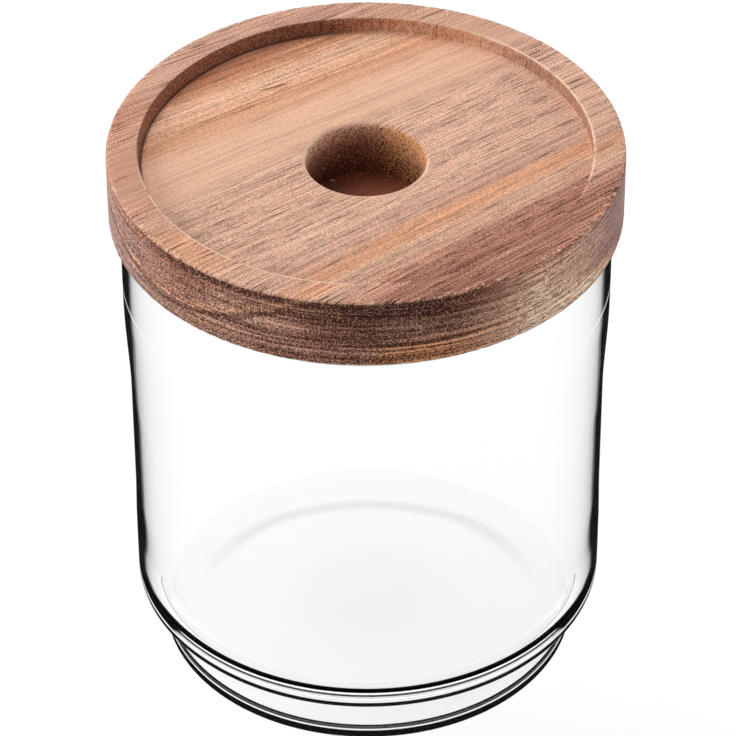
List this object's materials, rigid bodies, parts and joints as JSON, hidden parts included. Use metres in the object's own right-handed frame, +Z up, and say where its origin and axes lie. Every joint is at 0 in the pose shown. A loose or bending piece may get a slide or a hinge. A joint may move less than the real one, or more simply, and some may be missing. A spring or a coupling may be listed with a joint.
{
  "type": "storage jar",
  "caption": "Round clear glass food jar with a stepped foot and a lift-off wooden lid that has a finger hole, a recess for stacking, and a sealed plug.",
  "frame": {"origin": "middle of the underside, on the surface that the jar stands on", "axes": "+Z up along the jar's axis; the jar is round, so +X and +Y are any two level directions, with the pictured side towards -Y"},
  "size_m": [0.112, 0.112, 0.13],
  "materials": {
    "clear_glass": "clear, smooth, polished",
    "lid_wood": "acacia, sanded and lightly oiled, open pores",
    "plug_wood": "acacia, sanded",
    "seal": "translucent white silicone, matt"
  },
  "bodies": {
    "jar": {"glass_jar": "clear_glass"},
    "lid": {"lid_disc": "lid_wood", "lid_plug": "plug_wood", "seal_ring": "seal"}
  },
  "joints": [
    {"name": "lid_lift", "type": "slide", "parent": "jar", "child": "lid", "axis": [0, 0, 1], "range_m": [0, 0.06]}
  ]
}
